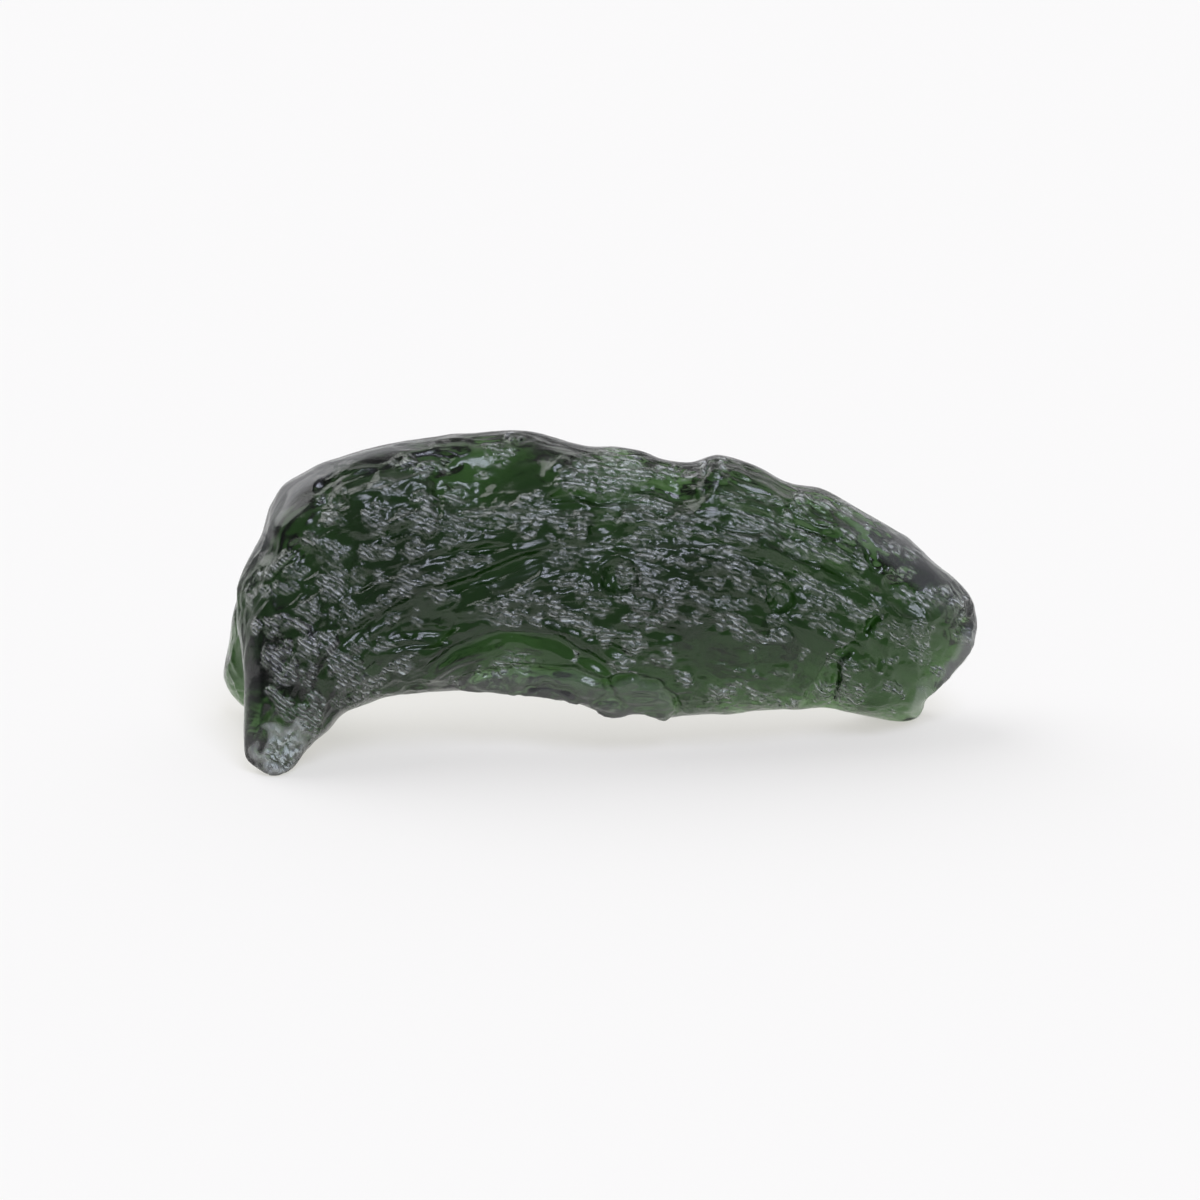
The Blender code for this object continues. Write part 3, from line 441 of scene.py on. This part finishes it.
# Lines along the flow, 0.25 mm apart and some 6 mm long.
LINE_SPACE = (160.0, 4000.0, 4000.0)
LINE_DEPTH = 0.11 * MM
# Crumbs of the crust, 0.26 mm apart.
CRUMB_SCALE = 3800.0
CRUMB_DEPTH = 0.12 * MM

# Light and floor. The room gets paler the further back a look points, over the range of
# ROOM_TURN.
FLOOR_SIDE = 1.6
FLOOR_GREY = "A4A4A4"
FLOOR_GLOW = 0.543
FLOOR_GLOW_COLOUR = "FFFDF7"
KEY_FROM = (-0.85, 0.42, 1.0)
KEY_STRENGTH = 1.6
KEY_SPREAD = math.radians(56)
FILL_FROM = (0.21, -0.52, 0.83)
FILL_STRENGTH = 1.5
FILL_SPREAD = math.radians(28)
FILL_COLOUR = "E4E8FF"
ROOM_IN_FRONT = "7C7C80"
ROOM_BEHIND = "F4F4F6"
ROOM_TURN = (-0.2, 0.7)


def linear(code):
    """The linear RGBA of an sRGB hex colour."""
    shares = [int(code[i:i + 2], 16) / 255 for i in (0, 2, 4)]
    parts = [s / 12.92 if s <= 0.04045 else ((s + 0.055) / 1.055) ** 2.4 for s in shares]
    return (*parts, 1.0)


def add_node(tree, kind, settings=None, inputs=None):
    """Adds a shader node, sets its properties and sets or links its inputs."""
    node = tree.nodes.new(kind)
    for setting, value in (settings or {}).items():
        setattr(node, setting, value)
    for socket, value in (inputs or {}).items():
        if isinstance(value, bpy.types.NodeSocket):
            tree.links.new(value, node.inputs[socket])
        else:
            node.inputs[socket].default_value = value
    return node


def with_modifier(mesh, kind, **settings):
    """The mesh after one modifier."""
    holder = bpy.data.objects.new("holder", mesh)
    bpy.context.scene.collection.objects.link(holder)
    modifier = holder.modifiers.new(kind, kind)
    for setting, value in settings.items():
        setattr(modifier, setting, value)
    graph = bpy.context.evaluated_depsgraph_get()
    result = bpy.data.meshes.new_from_object(holder.evaluated_get(graph))
    bpy.data.objects.remove(holder)
    return result


def smooth_skin(shape, verts, times):
    for _ in range(times):
        bmesh.ops.smooth_vert(
            shape, verts=verts, factor=SOFTENING_STEP,
            use_axis_x=True, use_axis_y=True, use_axis_z=True,
        )


def even_skin(node):
    """The CAD solid's skin on an even grid, softened, and finer over the broad face."""
    shape = bmesh.new()
    shape.from_mesh(node.data)
    bmesh.ops.remove_doubles(shape, verts=shape.verts, dist=WELD)
    merged = bpy.data.meshes.new("merged skin")
    shape.to_mesh(merged)
    shape.free()
    gridded = with_modifier(merged, "REMESH", mode="VOXEL", voxel_size=SKIN_GRID)
    shape = bmesh.new()
    shape.from_mesh(gridded)
    smooth_skin(shape, shape.verts, SOFTENING)
    shape.normal_update()
    sides = [vert for vert in shape.verts if vert.normal.dot(TOWARDS_CAMERA) < FINE_FACING]
    smooth_skin(shape, sides, SIDES_SOFTENING)
    shape.normal_update()
    edges = [
        edge for edge in shape.edges
        if any(face.normal.dot(TOWARDS_CAMERA) > FINE_FACING for face in edge.link_faces)
    ]
    bmesh.ops.subdivide_edges(shape, edges=edges, cuts=1, use_grid_fill=True)
    smooth_skin(shape, shape.verts, FINE_SOFTENING)
    skin = bpy.data.meshes.new("moldavite skin")
    shape.to_mesh(skin)
    shape.free()
    return skin


def read_skin(mesh):
    """The mesh's points and normals as arrays."""
    points = np.empty(len(mesh.vertices) * 3)
    normals = np.empty(len(mesh.vertices) * 3)
    mesh.vertices.foreach_get("co", points)
    mesh.vertex_normals.foreach_get("vector", normals)
    return points.reshape(-1, 3), normals.reshape(-1, 3)


def face_places(points):
    """Each point as (u, v, depth behind the face), in metres."""
    up = points[:, 2] * math.cos(LEAN) + points[:, 1] * math.sin(LEAN) - FACE_FOOT
    depth = points[:, 1] * math.cos(LEAN) - points[:, 2] * math.sin(LEAN)
    return np.stack([points[:, 0], up, depth], axis=1)


def along_flow(places):
    """Each place as (way along the bend, distance outside the flow line, depth), in metres."""
    line = np.array(FLOW_LINE) * MM
    best = np.full(len(places), np.inf)
    flow = places.copy()
    travelled = 0.0
    for start, end in zip(line, line[1:]):
        run = end - start
        length = np.linalg.norm(run)
        offset = places[:, :2] - start
        share = np.clip(offset @ run / length**2, 0, 1)
        nearest = offset - share[:, None] * run
        distance = np.linalg.norm(nearest, axis=1)
        side = np.sign(run[0] * offset[:, 1] - run[1] * offset[:, 0])
        closer = distance < best
        best[closer] = distance[closer]
        flow[closer, 0] = travelled + share[closer] * length
        flow[closer, 1] = side[closer] * distance[closer]
        travelled += length
    return flow


def along_wrinkles(places):
    """Each place as (u, height above the wrinkle line, depth), in metres."""
    line = np.array(WRINKLE_LINE) * MM
    wrinkles = places.copy()
    wrinkles[:, 1] -= np.interp(places[:, 0], line[:, 0], line[:, 1])
    return wrinkles


def noise_places(places, along, across, seed):
    """Where in the noise each place lies."""
    return places / (along, across, across) + (seed, 2 * seed, 3 * seed)


def noise_at(places, along, across, seed):
    return np.array([noise.noise(place) for place in noise_places(places, along, across, seed)])


def swells(places, sizes):
    """Round swellings and hollows."""
    along, across, height, seed = sizes
    return noise_at(places, along, across, seed) * height


def ridges(places, sizes):
    """Sharp crests and round hollows along the first coordinate, 0 at the crests."""
    along, across, height, seed = sizes
    return -np.abs(noise_at(places, along, across, seed)) * height


def steps(places, sizes):
    """Low steps along the first coordinate. Their long sides lean up, towards the light."""
    along, across, height, seed = sizes
    phase = places[:, 1] / across + STEP_WANDER * noise_at(places, along, 2 * across, seed)
    way = phase - np.floor(phase)
    return -height * np.minimum(way / STEP_LONG_SIDE, (1 - way) / (1 - STEP_LONG_SIDE))


def dimples(places, sizes):
    """Shallow etched dimples that meet in sharp crests."""
    along, across, depth, seed = sizes
    nearest = np.array([
        noise.voronoi(place)[0][:2] for place in noise_places(places, along, across, seed)])
    inside = np.clip((nearest[:, 1] - nearest[:, 0]) / DIMPLE_EDGE, 0, 1)
    return -depth * inside * (2 - inside)


def disc_distance(places, u, v, half_width, half_height):
    """0 at the middle of an ellipse on the face and 1 at its edge."""
    across = (places[:, 0] / MM - u) / half_width
    up = (places[:, 1] / MM - v) / half_height
    return np.hypot(across, up)


def line_share(places, half_width, points):
    """1 on a line on the face, falling to 0 at its half width and towards its two ends."""
    line = np.array(points) * MM
    share = np.zeros(len(places))
    lengths = np.linalg.norm(np.diff(line, axis=0), axis=1)
    travelled = np.concatenate([[0.0], np.cumsum(lengths)]) / lengths.sum()
    for index, (start, end) in enumerate(zip(line, line[1:])):
        run = end - start
        offset = places[:, :2] - start
        along = np.clip(offset @ run / (run @ run), 0, 1)
        distance = np.linalg.norm(offset - along[:, None] * run, axis=1) / (half_width * MM)
        way = travelled[index] + along * (travelled[index + 1] - travelled[index])
        ends = np.clip(np.minimum(way, 1 - way) * LINE_FADE + LINE_LEAST, 0, 1)
        share = np.maximum(share, ends * np.clip(1 - distance**2, 0, 1))
    return share


def lobe_relief(places):
    """The height of the lobes under the arch, in millimetres."""
    height = np.zeros(len(places))
    for u, v, half_width, half_height, rise in LOBES.values():
        distance = disc_distance(places, u, v, half_width, half_height)
        height = np.maximum(height, rise * np.sqrt(np.clip(1 - distance**2, 0, 1)))
    return height + (height > 0) * ridges(places, LOBE_SCALES) / MM


def named_relief(places):
    """The height of the furrows, pits, lobes and crests that have a name."""
    height = np.zeros(len(places))
    for half_width, depth, points in FURROWS.values():
        height -= depth * line_share(places, half_width, points)
    for half_width, rise, points in CRESTS.values():
        height += rise * line_share(places, half_width, points)
    rag = swells(places, PIT_RAGS)
    for u, v, half_width, half_height, depth, rim in PITS.values():
        distance = np.abs(disc_distance(places, u, v, half_width, half_height) + rag * (depth > 0))
        height -= depth * np.clip(1 - distance**2, 0, 1)
        height += rim * np.exp(-(((distance - PIT_RIM) / PIT_RIM_WIDTH) ** 2))
    for u, v, half_width, half_height, depth in POCKETS.values():
        distance = disc_distance(places, u, v, half_width, half_height)
        lean = 1 + (places[:, 1] / MM - v) / half_height
        height -= depth * lean * np.clip(1 - distance**2, 0, 1)
    return (height + lobe_relief(places)) * MM


def calm_share(places):
    """1 where the skin stays smooth, 0 where it is dimpled."""
    share = np.zeros(len(places))
    for place in CALM_PLACES.values():
        inside = np.clip(CALM_EDGE - CALM_EDGE * disc_distance(places, *place), 0, 1)
        share = np.maximum(share, inside)
    return share


def frost_and_painted_light_share(places, towards):
    """How frosted each place is, by the bands along the rim of the face and by the lobes. The
    bands' frost is partly painted light that lightens the rims.
    """
    share = np.zeros(len(places))
    for half_width, strength, points in FROST_AND_PAINTED_LIGHT_BANDS.values():
        band = np.clip(BAND_FILL * line_share(places, half_width, points), 0, 1)
        share = np.maximum(share, strength * band)
    for u, v, half_width, half_height, _rise in LOBES.values():
        distance = disc_distance(places, u, v, half_width, half_height)
        share = np.maximum(share, LOBES_FROSTED * np.clip(LOBE_EDGE - LOBE_EDGE * distance, 0, 1))
    return share * np.clip(towards * FROST_REACH + 1, 0, 1)


def patch_share(places):
    """How wrinkled each place is, by the patches of the broad face."""
    share = np.zeros(len(places))
    rag_along = swells(places, PATCH_RAGS_ALONG)
    rag_up = swells(places, PATCH_RAGS_UP)
    gaps = swells(along_wrinkles(places), PATCH_GAPS)
    for patches in WRINKLED_PATCHES.values():
        for u, v, half_length, half_width, turn, strength in patches:
            across = places[:, 0] / MM - u + rag_along
            up = places[:, 1] / MM - v + rag_up
            cosine, sine = math.cos(math.radians(turn)), math.sin(math.radians(turn))
            length = (across * cosine + up * sine) / half_length
            width = (up * cosine - across * sine) / half_width
            inside = np.clip(PATCH_FILL - PATCH_FADE * (length**2 + width**2) + gaps, 0, 1)
            share = np.maximum(share, strength * inside)
    return share


def store(mesh, name, kind, values):
    attribute = mesh.attributes.new(name, kind, "POINT")
    attribute.data.foreach_set("vector" if kind == "FLOAT_VECTOR" else "value", values.ravel())


def etched_stone(skin):
    """Etches the skin and keeps what the glass needs to know about each place."""
    points, normals = read_skin(skin)
    places = face_places(points)
    flow = along_flow(places)
    wrinkle = along_wrinkles(places)
    towards = normals @ np.array(TOWARDS_CAMERA)
    facing = np.clip(towards * FACE_SHARPNESS - FACE_START, 0, 1)
    sides = SIDES_WRINKLED * np.clip(swells(places, SIDE_PATCHES) + SIDES_FILL, 0, 1)
    wrinkled = facing * patch_share(places) + (1 - facing) * sides
    calm = facing * calm_share(places)
    rise = (normals @ np.array(UP_THE_FACE)) / np.maximum(towards, LEAST_FACING)
    steepness = np.clip(1 - rise / LIT_RISE, *STEEPNESS)
    ragged = disc_distance(places, *CRUST) + swells(places, CRUST_RAGS)
    crust = facing * np.clip(CRUST_EDGE - CRUST_EDGE * ragged, 0, 1)

    striated = np.clip(STRIATED_EVERYWHERE + wrinkled - CALMED_STRIATIONS * calm, 0, 1)
    height = steps(wrinkle, WRINKLES) * wrinkled
    height += ridges(flow, FLOW_FURROWS) * (1 - CALMED_FURROWS * calm)
    height += ridges(flow, STRIATIONS) * striated
    height += dimples(flow, DIMPLES) * np.clip(1 - wrinkled - calm, 0, 1)
    height += swells(places, UNDULATIONS) * (1 - CALMED_UNDULATIONS * calm)
    height += PATCH_RISE * wrinkled
    height += facing * named_relief(places)
    height *= np.clip(np.abs(towards) / OUTLINE_WIDTH, OUTLINE_RELIEF, 1)
    height += crust * ridges(places, CRUMBS)
    standing = np.clip(points[:, 2] / STANDING_HEIGHT, 0, 1)
    points += normals * (height * standing)[:, None]
    points[:, 2] = np.maximum(points[:, 2], 0.0)
    skin.vertices.foreach_set("co", points.ravel())

    on_the_right = LINED_ON_THE_RIGHT * np.clip(places[:, 0] / RIGHT_COMES_IN, 0, 1)
    lined = np.clip(LINED_EVERYWHERE + on_the_right + wrinkled - calm, 0, 1)
    # The frost on the wrinkle patches is painted sheen: pale along the waves, and paler where the
    # form faces away from the fill light.
    frost_and_painted_sheen = PATCH_FROST_AND_SHEEN * wrinkled * np.clip(steepness, *SHEEN_STEEPNESS)
    store(skin, "flow", "FLOAT_VECTOR", flow)
    store(skin, "wrinkle", "FLOAT_VECTOR", wrinkle)
    store(skin, "wrinkled", "FLOAT", wrinkled * steepness)
    store(skin, "lined", "FLOAT", lined)
    store(skin, "calm", "FLOAT", calm)
    store(skin, "frost_and_painted_sheen", "FLOAT", frost_and_painted_sheen)
    # The frost of the rim bands is partly painted light that makes the rims paler.
    store(skin, "frosted", "FLOAT", np.maximum(crust, frost_and_painted_light_share(places, towards)))
    store(skin, "crumbled", "FLOAT", np.clip(crust + SIDES_CRUMBLED * (1 - facing), 0, 1))
    skin.update()
    skin.shade_smooth()
    stone = bpy.data.objects.new("moldavite_stone", skin)
    bpy.context.scene.collection.objects.link(stone)
    return stone


def wrinkle_pattern(tree, marks):
    """Waves across the wrinkles, and how strong each short part of a wave is."""
    drawn_out = add_node(tree, "ShaderNodeMapping", {}, {
        "Vector": marks["wrinkle"].outputs["Vector"], "Scale": WRINKLE_SPACE})
    waves = add_node(tree, "ShaderNodeTexWave", {
        "wave_type": "BANDS", "bands_direction": "Y", "wave_profile": "SIN"}, {
        "Vector": drawn_out.outputs["Vector"], "Scale": WAVE_SCALE, "Distortion": 7.5,
        "Detail": 2.5, "Detail Scale": 1.2, "Detail Roughness": 0.6})
    broken = add_node(tree, "ShaderNodeTexNoise", {}, {
        "Vector": drawn_out.outputs["Vector"], "Scale": BREAK_SCALE, "Detail": 1.0,
        "Roughness": 0.5})
    part = add_node(tree, "ShaderNodeMapRange", {}, {
        "Value": broken.outputs["Fac"], "From Min": 0.42, "From Max": 0.58, "To Min": 0.15,
        "To Max": 1.3})
    return waves.outputs["Fac"], part.outputs["Result"]


def frost_and_sheen_pattern(tree, marks, waves, part):
    """The even frost of the rim and the crumbly crust, and all frost with that on the wrinkles. The
    frost on the wrinkles is painted sheen, and the rim's frost is partly painted light.
    """
    crumbs = add_node(tree, "ShaderNodeTexNoise", {}, {
        "Vector": marks["wrinkle"].outputs["Vector"], "Scale": CRUMB_SCALE, "Detail": 2.0,
        "Roughness": 0.6})
    crumb_tops = add_node(tree, "ShaderNodeMapRange", {}, {
        "Value": crumbs.outputs["Fac"], "From Min": 0.42, "From Max": 0.56, "To Min": 0.1,
        "To Max": 1.2})
    tops = add_node(tree, "ShaderNodeMix", {"data_type": "FLOAT"}, {
        "Factor": marks["crumbled"].outputs["Fac"], "A": 1.0, "B": crumb_tops.outputs["Result"]})
    even = add_node(tree, "ShaderNodeMath", {"operation": "MULTIPLY", "use_clamp": True}, {
        0: tops.outputs["Result"], 1: marks["frosted"].outputs["Fac"]})
    # Painted sheen: the waves, where the patches carry it, paint pale dashes along the wrinkles.
    sheen_waves = add_node(tree, "ShaderNodeMapRange", {}, {
        "Value": waves, "From Min": 0.2, "From Max": 1.0, "To Min": 0.2})
    broken_waves = add_node(tree, "ShaderNodeMath", {"operation": "MULTIPLY"}, {
        0: sheen_waves.outputs["Result"], 1: part})
    frost = add_node(tree, "ShaderNodeMath", {"operation": "MULTIPLY_ADD", "use_clamp": True}, {
        0: broken_waves.outputs["Value"], 1: marks["frost_and_painted_sheen"].outputs["Fac"],
        2: even.outputs["Value"]})
    return even.outputs["Value"], frost.outputs["Value"]


def etched_normal(tree, marks, waves, part, even_frost_and_painted_light):
    """The finest relief: waves of the wrinkles, lines along the flow and crumbs of the crust."""
    strength = add_node(tree, "ShaderNodeMath", {"operation": "MULTIPLY"}, {
        0: part, 1: marks["wrinkled"].outputs["Fac"]})
    dashes = add_node(tree, "ShaderNodeMath", {"operation": "MULTIPLY"}, {
        0: waves, 1: strength.outputs["Value"]})
    dash_bump = add_node(tree, "ShaderNodeBump", {"invert": True}, {
        "Height": dashes.outputs["Value"], "Distance": WAVE_DEPTH, "Strength": 1.0})
    streamed = add_node(tree, "ShaderNodeMapping", {}, {
        "Vector": marks["flow"].outputs["Vector"], "Scale": LINE_SPACE})
    lines = add_node(tree, "ShaderNodeTexNoise", {}, {
        "Vector": streamed.outputs["Vector"], "Scale": 1.0, "Detail": 1.0, "Roughness": 0.5})
    drawn_lines = add_node(tree, "ShaderNodeMath", {"operation": "MULTIPLY"}, {
        0: lines.outputs["Fac"], 1: marks["lined"].outputs["Fac"]})
    line_bump = add_node(tree, "ShaderNodeBump", {}, {
        "Height": drawn_lines.outputs["Value"], "Distance": LINE_DEPTH, "Strength": 1.0,
        "Normal": dash_bump.outputs["Normal"]})
    crumb_bump = add_node(tree, "ShaderNodeBump", {}, {
        "Height": even_frost_and_painted_light, "Distance": CRUMB_DEPTH, "Strength": 1.0,
        "Normal": line_bump.outputs["Normal"]})
    return crumb_bump.outputs["Normal"]


def moldavite_glass():
    """Moldavite: clear, bottle-green natural glass, melted by a meteorite's fall and etched by
    ground water. Its green deepens with its thickness. Its hollows are glossy and look dark, its
    wrinkles are duller and glint, and the frost on them is the same glass, etched to a matt
    white. That frost is also painted sheen along the waves of the wrinkles, and the pale frost
    on the rims is partly painted light."""
    material = bpy.data.materials.new("moldavite natural glass")
    material.use_nodes = True
    tree = material.node_tree
    tree.nodes.clear()
    names = ("wrinkle", "flow", "wrinkled", "lined", "frosted", "frost_and_painted_sheen", "crumbled", "calm")
    marks = {
        name: add_node(tree, "ShaderNodeAttribute", {"attribute_name": name}) for name in names}
    waves, part = wrinkle_pattern(tree, marks)
    even_frost_and_painted_light, frost = frost_and_sheen_pattern(tree, marks, waves, part)
    etched = add_node(tree, "ShaderNodeMapRange", {}, {
        "Value": marks["calm"].outputs["Fac"], "To Min": ETCHED_ROUGHNESS,
        "To Max": CALM_ROUGHNESS})
    matt = add_node(tree, "ShaderNodeMapRange", {}, {
        "Value": marks["frosted"].outputs["Fac"], "From Max": 0.5, "To Max": FROST_ROUGHNESS})
    rough = add_node(tree, "ShaderNodeMath", {"operation": "ADD"}, {
        0: matt.outputs["Result"], 1: etched.outputs["Result"]})
    clear = add_node(tree, "ShaderNodeMapRange", {}, {
        "Value": frost, "To Min": 1.0, "To Max": FROST_CLEARNESS})
    # Base colour: the pale frost is partly painted light, painted sheen on the wrinkles and painted
    # lighter rims.
    skin = add_node(tree, "ShaderNodeMix", {"data_type": "RGBA"}, {
        "Factor": frost, "A": (1, 1, 1, 1), "B": linear(FROST_AND_PAINTED_LIGHT_COLOUR)})
    shader = add_node(tree, "ShaderNodeBsdfPrincipled", {}, {
        "Base Color": skin.outputs["Result"], "Roughness": rough.outputs["Value"],
        "IOR": GLASS_IOR, "Transmission Weight": clear.outputs["Result"],
        "Normal": etched_normal(tree, marks, waves, part, even_frost_and_painted_light)})
    volume = add_node(tree, "ShaderNodeVolumeAbsorption", {}, {
        "Color": linear(GLASS_GREEN), "Density": GLASS_DENSITY})
    add_node(tree, "ShaderNodeOutputMaterial", {}, {
        "Surface": shader.outputs["BSDF"], "Volume": volume.outputs["Volume"]})
    return material


def lit_white_table():
    """Frosted white acrylic, a cast sheet with a matt face. It is lit from below, so it looks an
    even white and shadows on it stay pale."""
    material = bpy.data.materials.new("lit frosted acrylic")
    material.use_nodes = True
    shader = material.node_tree.nodes["Principled BSDF"]
    shader.inputs["Base Color"].default_value = linear(FLOOR_GREY)
    shader.inputs["Roughness"].default_value = 0.9
    shader.inputs["Specular IOR Level"].default_value = 0.0
    shader.inputs["Emission Color"].default_value = linear(FLOOR_GLOW_COLOUR)
    shader.inputs["Emission Strength"].default_value = FLOOR_GLOW
    return material


def make_floor():
    shape = bmesh.new()
    bmesh.ops.create_grid(shape, x_segments=1, y_segments=1, size=FLOOR_SIDE / 2)
    mesh = bpy.data.meshes.new("floor")
    shape.to_mesh(mesh)
    shape.free()
    mesh.materials.append(lit_white_table())
    floor = bpy.data.objects.new("floor", mesh)
    bpy.context.scene.collection.objects.link(floor)


def make_light(name, comes_from, strength, spread, colour="FFFFFF"):
    light = bpy.data.lights.new(name, "SUN")
    light.energy = strength
    light.color = linear(colour)[:3]
    light.angle = spread
    lamp = bpy.data.objects.new(name, light)
    lamp.rotation_euler = Vector(comes_from).to_track_quat("Z", "Y").to_euler()
    bpy.context.scene.collection.objects.link(lamp)


def make_room():
    """A room that is pale behind the stone and darker on the camera's side."""
    world = bpy.data.worlds.new("pale room")
    world.use_nodes = True
    tree = world.node_tree
    way = add_node(tree, "ShaderNodeTexCoord")
    parts = add_node(tree, "ShaderNodeSeparateXYZ", {}, {"Vector": way.outputs["Generated"]})
    behind = add_node(tree, "ShaderNodeMapRange", {}, {
        "Value": parts.outputs["Y"], "From Min": ROOM_TURN[0], "From Max": ROOM_TURN[1]})
    room = add_node(tree, "ShaderNodeMix", {"data_type": "RGBA"}, {
        "Factor": behind.outputs["Result"], "A": linear(ROOM_IN_FRONT), "B": linear(ROOM_BEHIND)})
    tree.links.new(room.outputs["Result"], tree.nodes["Background"].inputs["Color"])
    bpy.context.scene.world = world


def make_studio():
    make_floor()
    make_light("overhead softbox", KEY_FROM, KEY_STRENGTH, KEY_SPREAD)
    make_light("front fill", FILL_FROM, FILL_STRENGTH, FILL_SPREAD, FILL_COLOUR)
    make_room()
    bpy.context.scene.view_settings.view_transform = "Standard"
    camera = bpy.data.objects.new("camera", bpy.data.cameras.new("camera"))
    camera.data.lens = LENS
    camera.data.clip_start = 0.01
    camera.location = Vector(VIEW_TARGET) + TOWARDS_CAMERA * VIEW_DISTANCE
    camera.rotation_euler = TOWARDS_CAMERA.to_track_quat("Z", "Y").to_euler()
    bpy.context.scene.collection.objects.link(camera)
    bpy.context.scene.camera = camera


stone = etched_stone(even_skin(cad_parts["moldavite"]))
stone.data.materials.append(moldavite_glass())
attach(stone, "root")
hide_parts("moldavite")
make_studio()
